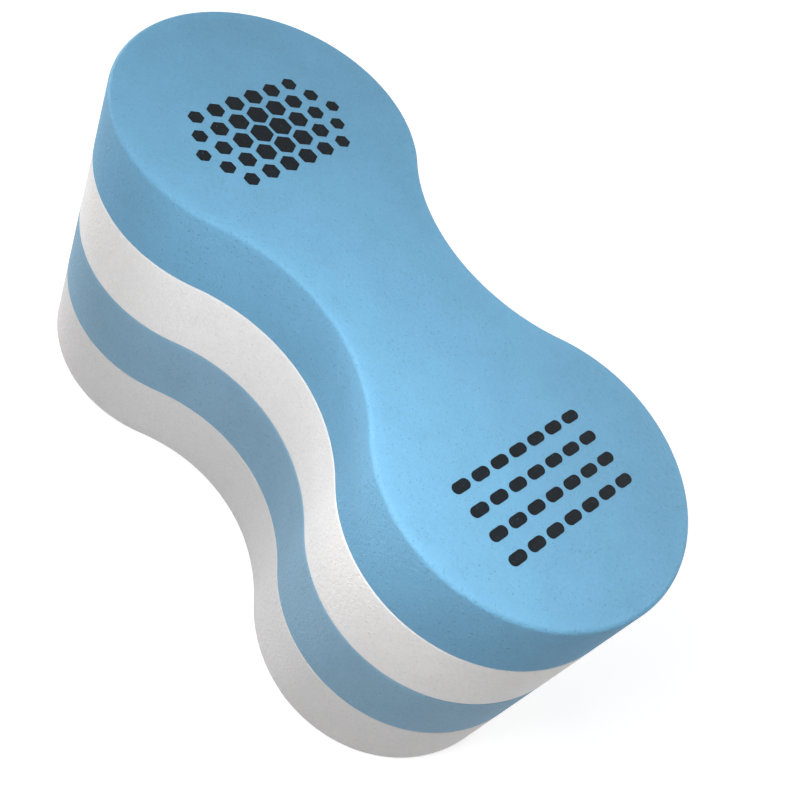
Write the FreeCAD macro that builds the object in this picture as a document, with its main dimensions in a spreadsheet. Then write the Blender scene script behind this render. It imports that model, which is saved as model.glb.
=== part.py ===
"""Pull buoy: a figure-eight block of four closed-cell foam slabs, glued one on another.

The swimmer holds the narrow waist between the thighs. Each slab is cut to the same outline, two
round lobes joined by two hollow arcs, and a thin film of adhesive lies in each of the three joints.
+X runs along the block, +Y across it and +Z up through the slabs. The origin is the centre of the
underside. All sizes are in millimetres.
"""
import FreeCAD, Part
import math
import os
import Sketcher

# Driving dimensions: alias, value, what it measures.
SIZES = [
    ("overall_length", 240.0, "end to end, over both lobes"),
    ("lobe_width", 102.0, "across each lobe"),
    ("waist_width", 56.0, "across the narrowest part of the waist"),
    ("slab_thickness", 30.0, "each foam slab, as the sheet is supplied"),
    ("rim_radius", 1.5, "rounded rim of the top face"),
    ("foot_chamfer", 1.0, "eased edge round the underside"),
    ("joint_chamfer", 0.3, "eased edge of each slab along a glued joint"),
    ("glue_thickness", 0.2, "film of contact adhesive in each joint"),
    ("glue_setback", 0.5, "from a joint's eased edge in to the film's edge"),
]

# Edge finishes: feature, its size property, the size's alias.
RIM = ("PartDesign::Fillet", "Radius", "rim_radius")
FOOT = ("PartDesign::Chamfer", "Size", "foot_chamfer")
JOINT = ("PartDesign::Chamfer", "Size", "joint_chamfer")

# From the underside up: name, finish of the lower edge, finish of the upper edge.
SLABS = [
    ("bottom_slab", FOOT, JOINT),
    ("lower_middle_slab", JOINT, JOINT),
    ("upper_middle_slab", JOINT, JOINT),
    ("top_slab", JOINT, RIM),
]
GLUE_FILMS = ["lower_glue_film", "middle_glue_film", "upper_glue_film"]

PLANE_TOLERANCE = 1e-6


def make_sheet(doc):
    """Spreadsheet of the driving dimensions, one aliased number on each row."""
    sheet = doc.addObject("Spreadsheet::Sheet", "Sizes")
    for row, (alias, value, meaning) in enumerate(SIZES, start=1):
        sheet.set(f"A{row}", alias)
        sheet.set(f"B{row}", str(value))
        sheet.set(f"C{row}", meaning)
        sheet.setAlias(f"B{row}", alias)
    doc.recompute()
    return sheet


def origin_plane(body, role):
    """The body's own origin plane with this role."""
    return next(feature for feature in body.Origin.OriginFeatures if feature.Role == role)


def figure_eight(body, name, sheet, inset=None):
    """Closed outline of two lobe arcs and two waist arcs, tangent where they meet.

    The waist arcs take their radius from the tangency. An inset, an expression in the sheet's
    sizes, moves the whole outline inwards by that much.
    """
    sketch = body.newObject("Sketcher::SketchObject", name)
    sketch.AttachmentSupport = (origin_plane(body, "XY_Plane"), [""])
    sketch.MapMode = "FlatFace"

    centre_x = (sheet.overall_length - sheet.lobe_width) / 2
    lobe = sheet.lobe_width / 2
    half_waist = sheet.waist_width / 2
    waist = (centre_x**2 + half_waist**2 - lobe**2) / (2 * (lobe - half_waist))
    centre_y = half_waist + waist
    turn = math.atan2(centre_y, -centre_x)

    def arc(x, y, radius, start, end):
        circle = Part.Circle(FreeCAD.Vector(x, y, 0), FreeCAD.Vector(0, 0, 1), radius)
        return sketch.addGeometry(Part.ArcOfCircle(circle, start, end))

    right = arc(centre_x, 0, lobe, -turn, turn)
    left = arc(-centre_x, 0, lobe, math.pi - turn, math.pi + turn)
    upper = arc(0, centre_y, waist, -turn, turn - math.pi)
    lower = arc(0, -centre_y, waist, math.pi - turn, turn)
    across = sketch.addGeometry(
        Part.LineSegment(FreeCAD.Vector(0, half_waist, 0), FreeCAD.Vector(0, -half_waist, 0)),
        True,
    )

    start, end, centre = 1, 2, 3
    x_axis, y_axis = -1, -2
    origin = (-1, 1)
    sketch.addConstraint([
        Sketcher.Constraint("Tangent", right, end, upper, end),
        Sketcher.Constraint("Tangent", right, start, lower, start),
        Sketcher.Constraint("Tangent", left, start, upper, start),
        Sketcher.Constraint("Tangent", left, end, lower, end),
        Sketcher.Constraint("PointOnObject", right, centre, x_axis),
        Sketcher.Constraint("Symmetric", right, centre, left, centre, *origin),
        Sketcher.Constraint("Equal", right, left),
        Sketcher.Constraint("PointOnObject", across, start, y_axis),
        Sketcher.Constraint("Symmetric", across, start, across, end, *origin),
        Sketcher.Constraint("PointOnObject", across, start, upper),
        Sketcher.Constraint("PointOnObject", across, end, lower),
    ])

    trim = f" - ({inset})" if inset else ""
    driving = [
        (Sketcher.Constraint("Radius", right, lobe), "lobe_radius", "Sizes.lobe_width / 2" + trim),
        (
            Sketcher.Constraint("DistanceX", *origin, right, centre, centre_x),
            "lobe_centre",
            "(Sizes.overall_length - Sizes.lobe_width) / 2",
        ),
        (
            Sketcher.Constraint("Distance", across, 2 * half_waist),
            "waist_width",
            f"2 * (Sizes.waist_width / 2{trim})",
        ),
    ]
    for constraint, label, expression in driving:
        index = sketch.addConstraint(constraint)
        sketch.renameConstraint(index, label)
        sketch.setExpression(f"Constraints.{label}", expression)
    return sketch


def pad_outline(body, sketch, thickness):
    """Pad of the outline, as thick as the sheet's size of this alias."""
    pad = body.newObject("PartDesign::Pad", f"{body.Name}_pad")
    pad.Profile = sketch
    pad.setExpression("Length", f"Sizes.{thickness}")
    sketch.Visibility = False
    return pad


def edges_at(shape, z):
    """Names of the shape's edges that lie in the plane at height z."""
    return [
        f"Edge{index}"
        for index, edge in enumerate(shape.Edges, start=1)
        if abs(edge.BoundBox.ZMin - z) < PLANE_TOLERANCE and abs(edge.BoundBox.ZMax - z) < PLANE_TOLERANCE
    ]


def dress_face(body, z, feature_type, size_property, alias):
    """Fillet or chamfer round the face of the body's last feature that lies at height z."""
    base = body.Tip
    dressing = body.newObject(feature_type, f"{base.Name}_{alias}")
    dressing.Base = (base, edges_at(base.Shape, z))
    dressing.setExpression(size_property, f"Sizes.{alias}")
    body.Document.recompute()


def make_slab(doc, sheet, name, slabs_below, lower_edge, upper_edge):
    """One foam slab. Each edge says how its face is finished: a feature, its size property, an alias."""
    body = doc.addObject("PartDesign::Body", name)
    body.Label = name
    sketch = figure_eight(body, f"{name}_outline", sheet)
    pad_outline(body, sketch, "slab_thickness")
    doc.recompute()
    dress_face(body, 0, *lower_edge)
    dress_face(body, sheet.slab_thickness, *upper_edge)
    body.setExpression(
        "Placement.Base.z", f"{slabs_below} * (Sizes.slab_thickness + Sizes.glue_thickness)"
    )
    return body


def make_glue_film(doc, sheet, name, slabs_below):
    """One film of adhesive between two slabs, kept back from the eased edges of the joint."""
    body = doc.addObject("PartDesign::Body", name)
    body.Label = name
    inset = "Sizes.joint_chamfer + Sizes.glue_setback"
    sketch = figure_eight(body, f"{name}_outline", sheet, inset)
    pad_outline(body, sketch, "glue_thickness")
    body.setExpression(
        "Placement.Base.z",
        f"{slabs_below} * Sizes.slab_thickness + {slabs_below - 1} * Sizes.glue_thickness",
    )
    return body


def check(doc, parts):
    """Stop on any object that failed and on any sub-part without a valid shape."""
    for item in doc.Objects:
        if "Invalid" in item.State or "Error" in item.State:
            raise RuntimeError(f"{item.Label} did not recompute: {item.State}")
    for part in parts:
        if part.Shape.isNull() or not part.Shape.isValid():
            raise RuntimeError(f"{part.Label} has no valid shape")


def main():
    doc = FreeCAD.newDocument("PullBuoy")
    sheet = make_sheet(doc)
    parts = [
        make_slab(doc, sheet, name, slabs_below, lower_edge, upper_edge)
        for slabs_below, (name, lower_edge, upper_edge) in enumerate(SLABS)
    ]
    parts += [
        make_glue_film(doc, sheet, name, slabs_below)
        for slabs_below, name in enumerate(GLUE_FILMS, start=1)
    ]
    doc.recompute()
    check(doc, parts)

    os.makedirs("parts", exist_ok=True)
    for part in parts:
        part.Shape.exportStep(f"parts/{part.Label}.step")
        print(f"{part.Label}: {part.Shape.Volume / 1000:.1f} cm3, {len(part.Shape.Faces)} faces")


main()
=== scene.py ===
"""Pull buoy: the looks of a glued block of four foam slabs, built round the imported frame.

Each slab is remodelled as a dense foam mesh on the frame's own outline: a rolled rim, eased joint
edges, and the slight unevenness of knife-cut foam. Two plain ink prints lie on the top face. All
lengths are in metres, in the frame's axes: +X along the block, +Y across it, +Z up.
"""

import math

import bpy
from mathutils import Matrix, Vector, noise
from mathutils.geometry import delaunay_2d_cdt


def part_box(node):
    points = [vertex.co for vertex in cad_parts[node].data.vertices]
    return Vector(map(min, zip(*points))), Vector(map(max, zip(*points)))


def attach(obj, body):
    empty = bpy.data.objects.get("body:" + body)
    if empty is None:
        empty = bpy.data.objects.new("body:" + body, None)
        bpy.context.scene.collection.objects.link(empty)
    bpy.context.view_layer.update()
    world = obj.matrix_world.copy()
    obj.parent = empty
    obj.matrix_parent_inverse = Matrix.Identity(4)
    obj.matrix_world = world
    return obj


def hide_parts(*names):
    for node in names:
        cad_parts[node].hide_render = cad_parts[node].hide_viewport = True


MM = 0.001

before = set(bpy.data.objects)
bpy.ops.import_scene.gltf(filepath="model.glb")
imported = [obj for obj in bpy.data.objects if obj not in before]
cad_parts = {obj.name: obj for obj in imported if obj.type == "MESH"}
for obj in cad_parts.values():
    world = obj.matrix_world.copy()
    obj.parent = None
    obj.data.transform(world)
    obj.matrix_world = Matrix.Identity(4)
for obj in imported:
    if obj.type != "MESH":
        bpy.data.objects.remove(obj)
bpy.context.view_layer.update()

# ---------------------------------------------------------------- sizes

RIM_RADIUS = 1.5 * MM
FOOT_EASE = 1.0 * MM
JOINT_EASE = 0.45 * MM

# Mesh density: along the wall, over the faces, and round the edges.
WALL_SPACING = 1.0 * MM
FACE_SPACING = 3.2 * MM
FACE_MARGIN = RIM_RADIUS + 0.7 * FACE_SPACING
RIM_STEPS = 7
EASE_STEPS = 3
MERGE_DISTANCE = 1e-7

# Slow waves of the cut wall and of the top face, and the finer ripple that the knife leaves. The
# ripple runs nearly straight up the wall, so it changes slowly with height.
WALL_UNEVENNESS = 0.16 * MM
WALL_WAVELENGTH = 38 * MM
CUT_RIPPLE = 0.035 * MM
CUT_RIPPLE_WAVELENGTH = 5 * MM
RIPPLE_CLIMB = 0.08
FACE_UNEVENNESS = 0.10 * MM
FACE_WAVELENGTH = 55 * MM

# Steps through the noise, so that no two slabs wave alike.
WALL_SEED_STEP = 7.3
RIPPLE_SEED_STEP = 3.1
FACE_NOISE_LEVEL = 0.3

# How far the paler wear reaches from a slab's edges.
WEAR_REACH = 1.5 * MM


class FigureEight:
    """Outline of two lobes joined by two hollow arcs, all tangent, measured on a CAD slab."""

    def __init__(self, node):
        low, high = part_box(node)
        near_waist = min(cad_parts[node].data.vertices, key=lambda v: abs(v.co.x)).co
        self.lobe = (high.y - low.y) / 2
        self.lobe_x = (high.x - low.x) / 2 - self.lobe
        rough = abs(near_waist.y)
        self.half_waist = rough - near_waist.x**2 / (2 * self.waist_radius(rough))
        self.waist = self.waist_radius(self.half_waist)
        self.waist_y = self.half_waist + self.waist
        self.turn = math.atan2(self.waist_y, -self.lobe_x)

    def waist_radius(self, half_waist):
        """Radius of the waist arc that is tangent to both lobes."""
        reach = self.lobe_x**2 + half_waist**2 - self.lobe**2
        return reach / (2 * (self.lobe - half_waist))

    def points(self, spacing):
        """Points and outward normals round the outline, evenly spaced."""
        turn, pi = self.turn, math.pi
        arcs = [
            (self.lobe_x, 0, self.lobe, -turn, turn, 1),
            (0, self.waist_y, self.waist, turn - pi, -turn, -1),
            (-self.lobe_x, 0, self.lobe, pi - turn, pi + turn, 1),
            (0, -self.waist_y, self.waist, turn, pi - turn, -1),
        ]
        found = []
        for x, y, radius, start, end, side in arcs:
            steps = round(radius * abs(end - start) / spacing)
            for step in range(steps):
                angle = start + (end - start) * step / steps
                out = Vector((math.cos(angle), math.sin(angle)))
                found.append((Vector((x, y)) + out * radius, out * side))
        return found

    def holds(self, point, margin):
        """Whether a point lies inside the outline, at least a margin from it."""
        x, y = abs(point.x), abs(point.y)
        in_lobe = math.hypot(x - self.lobe_x, y) < self.lobe - margin
        tangent_x = self.lobe_x + self.lobe * math.cos(self.turn)
        beside_waist = x < tangent_x and math.hypot(x, y - self.waist_y) > self.waist + margin
        return in_lobe or (beside_waist and y < self.waist_y)


outline = FigureEight("upper_middle_slab")


# ---------------------------------------------------------------- foam slabs


def new_piece(name, mesh):
    """Object for a mesh, linked into the scene."""
    piece = bpy.data.objects.new(name, mesh)
    bpy.context.scene.collection.objects.link(piece)
    return piece


def face_sag(x, y):
    """Height of the top face's slow unevenness at a point, at most zero."""
    wave = noise.noise(Vector((x, y, FACE_NOISE_LEVEL)) / FACE_WAVELENGTH)
    return FACE_UNEVENNESS * (wave - 1) / 2


def wall_offset(point, z, seed):
    """How far the cut wall lies inside the outline at a point, at least zero."""
    slow = noise.noise(
        Vector((point.x, point.y, 0)) / WALL_WAVELENGTH + Vector((0, 0, seed * WALL_SEED_STEP))
    )
    ripple = noise.noise(
        Vector((point.x, point.y, z * RIPPLE_CLIMB)) / CUT_RIPPLE_WAVELENGTH
        + Vector((seed * RIPPLE_SEED_STEP, 0, 0))
    )
    return WALL_UNEVENNESS * (1 + slow) / 2 + CUT_RIPPLE * (1 + ripple) / 2


def edge_profile(radius, steps):
    """(inset, rise) pairs of a quarter round from the wall, up to and over the face's edge."""
    return [
        (radius * (1 - math.cos(a)), radius * math.sin(a))
        for a in (math.pi / 2 * step / steps for step in range(steps + 1))
    ]


def slab_profile(low, high, lower_ease, upper_ease):
    """(inset, z) pairs up the slab's wall, from the lower face's edge to the upper face's."""
    lower_steps = RIM_STEPS if lower_ease > JOINT_EASE else EASE_STEPS
    upper_steps = RIM_STEPS if upper_ease > JOINT_EASE else EASE_STEPS
    bottom, top = low + lower_ease, high - upper_ease
    lower = [(inset, bottom - rise) for inset, rise in edge_profile(lower_ease, lower_steps)]
    upper = [(inset, top + rise) for inset, rise in edge_profile(upper_ease, upper_steps)]
    rings = max(2, round((top - bottom) / WALL_SPACING))
    wall = [(0.0, bottom + (top - bottom) * step / rings) for step in range(1, rings)]
    return lower[::-1] + wall + upper


def face_points():
    """Even points inside a face's edge, for a mesh that can follow the foam's unevenness."""
    inside = []
    row_spacing = FACE_SPACING * math.sqrt(3) / 2
    rows = int(outline.lobe / row_spacing) + 1
    columns = int((outline.lobe_x + outline.lobe) / FACE_SPACING) + 1
    for row in range(-rows, rows + 1):
        for column in range(-columns, columns + 1):
            point = Vector(((column + (row % 2) / 2) * FACE_SPACING, row * row_spacing))
            if outline.holds(point, FACE_MARGIN):
                inside.append(point)
    return inside


def cap(loop):
    """Triangles that fill a closed loop of plan points, with even points added inside it."""
    count = len(loop)
    border = [(i, (i + 1) % count) for i in range(count)]
    points, _, triangles, *_ = delaunay_2d_cdt(loop + face_points(), border, [], 1, MERGE_DISTANCE)
    return points, triangles


def foam_slab(name, node, lower_ease, upper_ease, seed):
    """Foam mesh of one slab, with two masks for its material.

    The skin mask is 1 on the sheet's skin and 0 on the cut wall. The edge mask is 1 at the wall's
    edges and fades from them.
    """
    low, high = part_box(node)
    ring = outline.points(WALL_SPACING)
    count = len(ring)
    profile = slab_profile(low.z, high.z, lower_ease, upper_ease)
    vertices, skin, edge = [], [], []
    for inset, z in profile:
        for point, normal in ring:
            offset = inset + wall_offset(point, z, seed)
            vertices.append((point.x - normal.x * offset, point.y - normal.y * offset, z))
        rolled = max(
            inset / upper_ease if z > high.z - upper_ease else 0,
            inset / lower_ease if z < low.z + lower_ease else 0,
        )
        from_edge = min(z - low.z, high.z - z)
        skin += [rolled] * count
        edge += [math.exp(-from_edge / WEAR_REACH)] * count

    faces = []
    for level in range(len(profile) - 1):
        for i in range(count):
            j = (i + 1) % count
            a, b = level * count, (level + 1) * count
            faces.append((a + i, a + j, b + j, b + i))
    for level, flip in ((0, True), (len(profile) - 1, False)):
        index = [level * count + i for i in range(count)]
        points, triangles = cap([Vector(vertices[i][:2]) for i in index])
        for point in points[count:]:
            index.append(len(vertices))
            vertices.append((point.x, point.y, profile[level][1]))
            skin.append(1.0)
            edge.append(0.0)
        for triangle in triangles:
            corners = [index[i] for i in triangle]
            faces.append(corners[::-1] if flip else corners)

    if node == "top_slab":
        rim_start = high.z - upper_ease
        vertices = [
            (x, y, z + face_sag(x, y) * min(1, max(0, (z - rim_start) / upper_ease)))
            for x, y, z in vertices
        ]

    mesh = bpy.data.meshes.new(name)
    mesh.from_pydata(vertices, [], faces)
    mesh.validate()
    for label, values in (("skin", skin), ("edge", edge)):
        mesh.attributes.new(label, "FLOAT", "POINT").data.foreach_set("value", values)
    mesh.shade_smooth()
    return new_piece(name, mesh)


# ---------------------------------------------------------------- ink prints

# The ink reaches a little into the foam, so that no gap shows under it.
INK_BASE = -0.02 * MM
INK_THICKNESS = 0.04 * MM

# Share of a hexagon dot's radius that rounds its corners, and the steps round a corner or an end.
CORNER_SHARE = 0.14
CORNER_STEPS = 6
END_STEPS = 10

# Two plain prints: a honeycomb on one lobe and lane dashes on the other.
HONEYCOMB_PLACE = (-66 * MM, -2 * MM)
HONEYCOMB_TURN = math.radians(6)
HONEYCOMB_ROWS = (6, 7, 8, 7, 6)
HONEYCOMB_PITCH = 7.9 * MM
LARGEST_DOT = 4.1 * MM
SMALLEST_DOT = 2.2 * MM

LANES_PLACE = (75 * MM, -2 * MM)
LANES_TURN = math.radians(2)
LANE_COUNT = 4
LANE_PITCH = 8.2 * MM
DASH_COUNT = 7
DASH_LENGTH = 6.6 * MM
DASH_WIDTH = 3.6 * MM
DASH_GAP = 1.5 * MM


def plate(name, shapes, place, turn):
    """Thin ink plates with these plan outlines, turned and placed on the top face."""
    spin = Matrix.Rotation(turn, 2)
    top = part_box("top_slab")[1].z
    vertices, faces = [], []
    for shape in shapes:
        start, count = len(vertices), len(shape)
        for level in (INK_BASE, INK_THICKNESS):
            for corner in shape:
                x, y = spin @ Vector(corner) + Vector(place)
                vertices.append((x, y, top + face_sag(x, y) + level))
        faces.append([start + i for i in range(count)][::-1])
        faces.append([start + count + i for i in range(count)])
        for i in range(count):
            j = (i + 1) % count
            faces.append((start + i, start + j, start + count + j, start + count + i))
    mesh = bpy.data.meshes.new(name)
    mesh.from_pydata(vertices, [], faces)
    return new_piece(name, mesh)


def hexagon(radius, centre):
    """Hexagon with rounded corners, as plan points round its centre."""
    found = []
    rounding = radius * CORNER_SHARE
    reach = radius - rounding
    for corner in range(6):
        middle = corner * math.pi / 3
        x = centre[0] + reach * math.cos(middle)
        y = centre[1] + reach * math.sin(middle)
        for step in range(CORNER_STEPS + 1):
            a = middle + (step / CORNER_STEPS - 0.5) * math.pi / 3
            found.append((x + rounding * math.cos(a), y + rounding * math.sin(a)))
    return found


def dash(length, width, centre):
    """Round-ended dash along Y, as plan points round its centre."""
    found = []
    for end in (1, -1):
        for step in range(END_STEPS + 1):
            a = (0 if end > 0 else math.pi) + math.pi * step / END_STEPS
            found.append((
                centre[0] + width / 2 * math.cos(a),
                centre[1] + end * (length - width) / 2 + width / 2 * math.sin(a),
            ))
    return found


def honeycomb():
    """Hexagon dots in staggered rows, largest in the middle and smaller outwards."""
    shapes = []
    reach = max(HONEYCOMB_ROWS) * HONEYCOMB_PITCH / 2
    for row, count in enumerate(HONEYCOMB_ROWS):
        x = (row - (len(HONEYCOMB_ROWS) - 1) / 2) * HONEYCOMB_PITCH * math.sqrt(3) / 2
        for column in range(count):
            y = (column - (count - 1) / 2) * HONEYCOMB_PITCH
            share = min(1, math.hypot(x, y) / reach)
            shapes.append(hexagon(LARGEST_DOT + (SMALLEST_DOT - LARGEST_DOT) * share, (x, y)))
    return shapes


def lanes():
    """Rows of round-ended dashes, like the floats on swimming lane lines."""
    shapes = []
    for row in range(LANE_COUNT):
        x = (row - (LANE_COUNT - 1) / 2) * LANE_PITCH
        for column in range(DASH_COUNT):
            y = (column - (DASH_COUNT - 1) / 2) * (DASH_LENGTH + DASH_GAP)
            shapes.append(dash(DASH_LENGTH, DASH_WIDTH, (x, y)))
    return shapes


# ---------------------------------------------------------------- materials

# Base colours of the foams. The bottom white is darker than the upper white: painted shade, for the
# light that falls off towards the bottom of the block.
TOP_BLUE = (0.163, 0.398, 0.605, 1)
LOWER_BLUE = (0.242, 0.418, 0.565, 1)
UPPER_WHITE = (0.900, 0.885, 0.880, 1)
SHADED_BOTTOM_WHITE = (0.750, 0.735, 0.732, 1)
INK = (0.004, 0.007, 0.010, 1)
GLUE = (0.188, 0.162, 0.127, 1)

# Scales of the noises and cells, in waves or cells per metre: cloudy colour, fine grain, the
# foam's cells, its larger open holes, the skin's orange peel, and the knife's lines.
CLOUDS = 55
GRAIN = 900
CELLS = 1700
HOLES = 620
PEEL = 260
KNIFE_LINES = 420
KNIFE_LINE_CLIMB = 0.06

# The ink's own cells and pinholes, and its thick and thin patches.
INK_CELLS = 1500
INK_PINHOLES = 2100
INK_PATCHES = 180
GLUE_STRINGS = 700


class Nodes:
    """Short-hand for building one material's node tree."""

    def __init__(self, name):
        self.material = bpy.data.materials.new(name)
        self.material.use_nodes = True
        self.tree = self.material.node_tree
        self.shader = self.tree.nodes["Principled BSDF"]

    def add(self, kind, settings=None, **inputs):
        node = self.tree.nodes.new(kind)
        for key, value in (settings or {}).items():
            setattr(node, key, value)
        for key, value in inputs.items():
            self.set(node.inputs[key.replace("_", " ")], value)
        return node

    def set(self, socket, value):
        """Link a socket to another one, or give it a plain value."""
        if isinstance(value, bpy.types.NodeSocket):
            self.tree.links.new(value, socket)
        else:
            socket.default_value = value

    def math(self, operation, a, b):
        node = self.add("ShaderNodeMath", {"operation": operation})
        self.set(node.inputs[0], a)
        self.set(node.inputs[1], b)
        return node.outputs[0]

    def ramp(self, value, low, high):
        """value taken from low..high to 0..1, smoothly."""
        node = self.add(
            "ShaderNodeMapRange", {"interpolation_type": "SMOOTHSTEP"},
            Value=value, From_Min=low, From_Max=high,
        )
        return node.outputs["Result"]

    def span(self, value, low, high, start, end):
        """value taken from low..high to start..end, in a straight line."""
        node = self.add(
            "ShaderNodeMapRange", Value=value, From_Min=low, From_Max=high, To_Min=start, To_Max=end
        )
        return node.outputs["Result"]

    def mix(self, factor, a, b):
        """Colour a where the factor is 0, b where it is 1."""
        node = self.add("ShaderNodeMix", {"data_type": "RGBA"})
        self.set(node.inputs["Factor"], factor)
        self.set(node.inputs[6], a)
        self.set(node.inputs[7], b)
        return node.outputs[2]

    def noise(self, vector, scale, detail, roughness):
        return self.add(
            "ShaderNodeTexNoise", Vector=vector, Scale=scale, Detail=detail, Roughness=roughness
        ).outputs["Fac"]

    def cells(self, vector, scale, feature="F1"):
        return self.add(
            "ShaderNodeTexVoronoi", {"feature": feature}, Vector=vector, Scale=scale
        ).outputs["Distance"]

    def mask(self, name):
        """A mask that the mesh carries at its points."""
        return self.add("ShaderNodeAttribute", {"attribute_name": name}).outputs["Fac"]

    def bump(self, height, strength, distance, normal=None):
        node = self.add("ShaderNodeBump", Height=height, Strength=strength, Distance=distance)
        if normal is not None:
            self.set(node.inputs["Normal"], normal)
        return node.outputs["Normal"]


def scaled(color, factor):
    """Colour made lighter or darker."""
    return tuple(min(1.0, c * factor) for c in color[:3]) + (1.0,)


def foam_material(name, color, wear, mottle, pore_shade):
    """Closed-cell EVA foam: a smooth sheet skin on the faces, an open-pored knife cut on the wall."""
    n = Nodes(name)
    place = n.add("ShaderNodeTexCoord").outputs["Object"]
    skin = n.mask("skin")
    edge = n.mask("edge")
    cut = n.math("SUBTRACT", 1.0, skin)

    clouds = n.noise(place, CLOUDS, 4.0, 0.6)
    grain = n.noise(place, GRAIN, 2.0, 0.6)
    membrane = n.cells(place, CELLS, "DISTANCE_TO_EDGE")
    holes = n.cells(place, HOLES)
    upright = n.add("ShaderNodeMapping", Vector=place, Scale=(1, 1, KNIFE_LINE_CLIMB))
    knife_lines = n.noise(upright.outputs["Vector"], KNIFE_LINES, 3.0, 0.6)

    # Cells are open on the cut wall and mostly sealed on the skin.
    openness = n.math("ADD", n.math("MULTIPLY", cut, 0.4), 0.6)
    pits = n.math("MULTIPLY", n.ramp(membrane, 0.02, 0.2), openness)
    open_holes = n.math("MULTIPLY", n.ramp(holes, 0.24, 0.10), openness)

    tone = n.mix(n.ramp(clouds, 0.3, 0.7), scaled(color, 1 - mottle), scaled(color, 1 + mottle))
    tone = n.mix(n.math("MULTIPLY", n.ramp(grain, 0.3, 0.7), 0.45), tone, scaled(color, 1.10))
    # Pits at the cell centres and the open holes are painted darker: painted shade inside the foam's
    # pores.
    tone = n.mix(n.math("MULTIPLY", pits, pore_shade), tone, scaled(color, 0.72))
    tone = n.mix(n.math("MULTIPLY", open_holes, pore_shade), tone, scaled(color, 0.35))
    tone = n.mix(n.math("MULTIPLY", edge, 0.35), tone, scaled(color, wear))
    n.set(n.shader.inputs["Base Color"], tone)

    rough = n.math("ADD", n.span(skin, 0.0, 1.0, 0.62, 0.46), n.span(grain, 0.3, 0.7, -0.04, 0.04))
    n.set(n.shader.inputs["Roughness"], rough)
    n.shader.inputs["Specular IOR Level"].default_value = 0.15
    n.shader.inputs["IOR"].default_value = 1.49
    n.shader.inputs["Sheen Weight"].default_value = 0.03
    n.shader.inputs["Sheen Roughness"].default_value = 0.5

    peel = n.bump(n.noise(place, PEEL, 2.0, 0.5), 0.30, 0.5 * MM)
    leather = n.bump(grain, 0.7, 0.5 * MM, peel)
    walls = n.math("MULTIPLY", n.math("SUBTRACT", 1.0, n.ramp(membrane, 0.0, 0.35)), openness)
    celled = n.bump(walls, 0.55, 0.08 * MM, leather)
    pitted = n.bump(n.math("SUBTRACT", 1.0, open_holes), 0.6, 0.2 * MM, celled)
    lined = n.bump(n.math("MULTIPLY", knife_lines, cut), 0.30, 0.3 * MM, pitted)
    n.set(n.shader.inputs["Normal"], lined)
    return n.material


def ink_material(name, color, under):
    """Screen-printed ink: near black, satin, with the foam's texture and a few pinholes in it."""
    n = Nodes(name)
    place = n.add("ShaderNodeTexCoord").outputs["Object"]
    grain = n.noise(place, GRAIN, 2.0, 0.6)
    pinholes = n.ramp(n.noise(place, INK_PINHOLES, 2.0, 0.7), 0.68, 0.76)
    patches = n.ramp(n.noise(place, INK_PATCHES, 3.0, 0.6), 0.35, 0.75)
    tone = n.mix(n.math("MULTIPLY", patches, 0.5), color, scaled(color, 2.2))
    tone = n.mix(n.math("MULTIPLY", pinholes, 0.55), tone, under)
    n.set(n.shader.inputs["Base Color"], tone)
    n.set(n.shader.inputs["Roughness"], n.span(grain, 0.3, 0.7, 0.42, 0.55))
    n.shader.inputs["Specular IOR Level"].default_value = 0.12
    peel = n.bump(n.noise(place, PEEL, 2.0, 0.5), 0.20, 0.4 * MM)
    n.set(n.shader.inputs["Normal"], n.bump(n.cells(place, INK_CELLS), 0.12, 0.16 * MM, peel))
    return n.material


def adhesive_material(name, color):
    """Dried contact adhesive at the bottom of a joint, amber-grey and a little stringy."""
    n = Nodes(name)
    place = n.add("ShaderNodeTexCoord").outputs["Object"]
    strings = n.noise(place, GLUE_STRINGS, 4.0, 0.7)
    tone = n.mix(n.ramp(strings, 0.3, 0.7), scaled(color, 0.7), scaled(color, 1.5))
    n.set(n.shader.inputs["Base Color"], tone)
    n.shader.inputs["Roughness"].default_value = 0.7
    n.set(n.shader.inputs["Normal"], n.bump(strings, 0.4, 0.2 * MM))
    return n.material


top_blue_foam = foam_material("top_blue_eva_foam", TOP_BLUE, 1.15, 0.05, 0.35)
lower_blue_foam = foam_material("lower_blue_eva_foam", LOWER_BLUE, 1.15, 0.05, 0.35)
upper_white_foam = foam_material("upper_white_eva_foam", UPPER_WHITE, 0.97, 0.02, 0.16)
# The bottom slab's white is painted darker: painted shade towards the bottom of the block.
shaded_bottom_white_foam = foam_material("shaded_bottom_white_eva_foam", SHADED_BOTTOM_WHITE, 0.97, 0.02, 0.22)
print_ink = ink_material("print_ink", INK, TOP_BLUE)
dried_glue = adhesive_material("dried_glue", GLUE)

# ---------------------------------------------------------------- pieces

# From the underside up: node, material, record's slot, ease of the lower edge and of the upper one.
SLABS = [
    ("bottom_slab", shaded_bottom_white_foam, "white_foam", FOOT_EASE, JOINT_EASE),
    ("lower_middle_slab", lower_blue_foam, "blue_foam", JOINT_EASE, JOINT_EASE),
    ("upper_middle_slab", upper_white_foam, "white_foam", JOINT_EASE, JOINT_EASE),
    ("top_slab", top_blue_foam, "blue_foam", JOINT_EASE, RIM_RADIUS),
]
for seed, (node, material, slot, lower_ease, upper_ease) in enumerate(SLABS):
    slab = foam_slab(f"{node}_foam", node, lower_ease, upper_ease, seed)
    slab.data.materials.append(material)
    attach(slab, "root")
    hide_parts(node)

for node in ("lower_glue_film", "middle_glue_film", "upper_glue_film"):
    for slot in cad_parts[node].material_slots:
        slot.material = dried_glue

honeycomb_print = plate("honeycomb_print", honeycomb(), HONEYCOMB_PLACE, HONEYCOMB_TURN)
lane_print = plate("lane_print", lanes(), LANES_PLACE, LANES_TURN)
for piece in (honeycomb_print, lane_print):
    piece.data.materials.append(print_ink)
    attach(piece, "root")

# ---------------------------------------------------------------- camera

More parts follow.
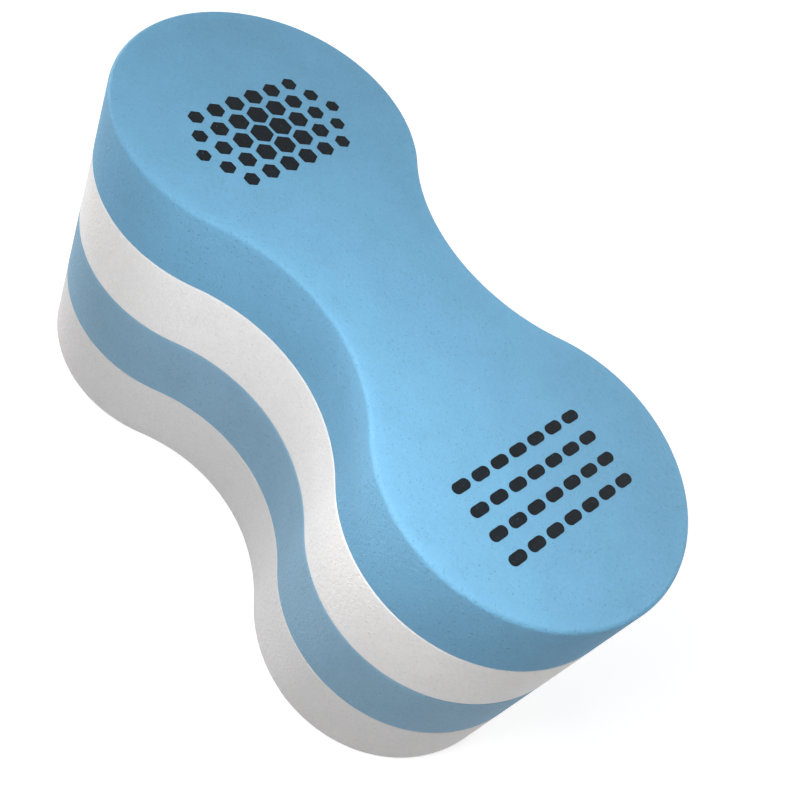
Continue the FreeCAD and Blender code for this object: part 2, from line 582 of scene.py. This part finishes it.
CAMERA_AZIMUTH = math.radians(-67.1)
CAMERA_ELEVATION = math.radians(50.2)
CAMERA_ROLL = math.radians(35.1)
CAMERA_DISTANCE = 370 * MM
CAMERA_TARGET = Vector((17.4 * MM, 12.6 * MM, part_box("top_slab")[1].z - 50 * MM))
CLIP_START = 10 * MM

# Sensor width and focal length are camera settings in millimetres.
SENSOR_WIDTH = 36.0
FOCAL_LENGTH = 48.9

back = Vector((
    math.cos(CAMERA_ELEVATION) * math.cos(CAMERA_AZIMUTH),
    math.cos(CAMERA_ELEVATION) * math.sin(CAMERA_AZIMUTH),
    math.sin(CAMERA_ELEVATION),
))
level_right = (-back).cross(Vector((0, 0, 1))).normalized()
level_up = level_right.cross(-back)
right = math.cos(CAMERA_ROLL) * level_right + math.sin(CAMERA_ROLL) * level_up
up = -math.sin(CAMERA_ROLL) * level_right + math.cos(CAMERA_ROLL) * level_up
turned = Matrix((right, up, back)).transposed().to_4x4()

camera_data = bpy.data.cameras.new("camera")
camera_data.sensor_width = SENSOR_WIDTH
camera_data.lens = FOCAL_LENGTH
camera_data.clip_start = CLIP_START
camera = bpy.data.objects.new("camera", camera_data)
camera.matrix_world = Matrix.Translation(CAMERA_TARGET + back * CAMERA_DISTANCE) @ turned
bpy.context.scene.collection.objects.link(camera)
bpy.context.scene.camera = camera

# ---------------------------------------------------------------- stage and light

FLOOR_HALF_WIDTH = 6.0
FLOOR_Z = -0.2 * MM
FLOOR_COLOR = (0.8, 0.8, 0.8, 1)

# The floor's glow beside the block and far from it, and where it starts and stops to change.
GLOW_NEAR = 0.50
GLOW_FAR = 0.78
GLOW_START = 0.35
GLOW_STOP = 0.9

WORLD_LIGHT = 0.28
MIDDLE = (0, 0, 0.06)


def soft_light(name, place, aim, size, power):
    """Square area light at a place, aimed at a point, with its power in watts."""
    data = bpy.data.lights.new(name, "AREA")
    data.shape = "SQUARE"
    data.size = size
    data.energy = power
    lamp = bpy.data.objects.new(name, data)
    lamp.location = place
    lamp.rotation_euler = (Vector(aim) - Vector(place)).to_track_quat("-Z", "Y").to_euler()
    bpy.context.scene.collection.objects.link(lamp)


def seen_directly(tree):
    """1 for camera, glossy and transmission rays, 0 for the diffuse ones that light the block."""
    path = tree.nodes.new("ShaderNodeLightPath")
    seen = path.outputs["Is Camera Ray"]
    for ray in ("Is Glossy Ray", "Is Transmission Ray"):
        either = tree.nodes.new("ShaderNodeMath")
        either.operation = "MAXIMUM"
        tree.links.new(seen, either.inputs[0])
        tree.links.new(path.outputs[ray], either.inputs[1])
        seen = either.outputs[0]
    return seen


def floor_glow(tree):
    """Glow of the floor: lower round the block, so its shadow shows, and higher far from the lamps."""
    place = tree.nodes.new("ShaderNodeTexCoord")
    distance = tree.nodes.new("ShaderNodeVectorMath")
    distance.operation = "LENGTH"
    tree.links.new(place.outputs["Object"], distance.inputs[0])
    glow = tree.nodes.new("ShaderNodeMapRange")
    glow.interpolation_type = "SMOOTHSTEP"
    glow.inputs["From Min"].default_value = GLOW_START
    glow.inputs["From Max"].default_value = GLOW_STOP
    glow.inputs["To Min"].default_value = GLOW_NEAR
    glow.inputs["To Max"].default_value = GLOW_FAR
    tree.links.new(distance.outputs["Value"], glow.inputs["Value"])
    return glow.outputs["Result"]


def make_floor():
    """Wide pale floor that shows white where it is seen directly and keeps the block's shadow."""
    mesh = bpy.data.meshes.new("floor")
    corners = [(-1, -1), (1, -1), (1, 1), (-1, 1)]
    mesh.from_pydata(
        [(x * FLOOR_HALF_WIDTH, y * FLOOR_HALF_WIDTH, FLOOR_Z) for x, y in corners],
        [],
        [(0, 1, 2, 3)],
    )
    floor = new_piece("floor", mesh)
    material = bpy.data.materials.new("pale_floor")
    material.use_nodes = True
    mesh.materials.append(material)
    tree = material.node_tree
    shader = tree.nodes["Principled BSDF"]
    shader.inputs["Base Color"].default_value = FLOOR_COLOR
    shader.inputs["Roughness"].default_value = 0.9
    shader.inputs["Specular IOR Level"].default_value = 0.1

    level = tree.nodes.new("ShaderNodeMath")
    level.operation = "MULTIPLY"
    tree.links.new(seen_directly(tree), level.inputs[0])
    tree.links.new(floor_glow(tree), level.inputs[1])
    glow = tree.nodes.new("ShaderNodeEmission")
    tree.links.new(level.outputs[0], glow.inputs["Strength"])
    total = tree.nodes.new("ShaderNodeAddShader")
    tree.links.new(shader.outputs[0], total.inputs[0])
    tree.links.new(glow.outputs[0], total.inputs[1])
    tree.links.new(total.outputs[0], tree.nodes["Material Output"].inputs["Surface"])


def make_world():
    """Even pale surroundings, pure white where the camera or a reflection sees them."""
    world = bpy.data.worlds.new("studio")
    bpy.context.scene.world = world
    world.use_nodes = True
    tree = world.node_tree
    background = tree.nodes["Background"]
    background.inputs["Color"].default_value = (1, 1, 1, 1)
    level = tree.nodes.new("ShaderNodeMapRange")
    level.inputs["To Min"].default_value = WORLD_LIGHT
    level.inputs["To Max"].default_value = 1.0
    tree.links.new(seen_directly(tree), level.inputs["Value"])
    tree.links.new(level.outputs["Result"], background.inputs["Strength"])


make_floor()
make_world()
soft_light("key", place=(0.05, -0.13, 0.25), aim=(0.01, -0.02, 0.09), size=0.08, power=0.33)
soft_light("left_fill", place=(-0.89, -0.1, 0.2), aim=MIDDLE, size=0.5, power=6.4)
soft_light("top_fill", place=(0.28, 0.48, 0.77), aim=MIDDLE, size=0.5, power=1.2)
soft_light("right_fill", place=(0.9, 0.15, 0.2), aim=MIDDLE, size=0.5, power=1.0)
soft_light("back_fill", place=(0.1, 0.9, 0.2), aim=MIDDLE, size=0.6, power=3.0)

bpy.context.scene.view_settings.view_transform = "Standard"
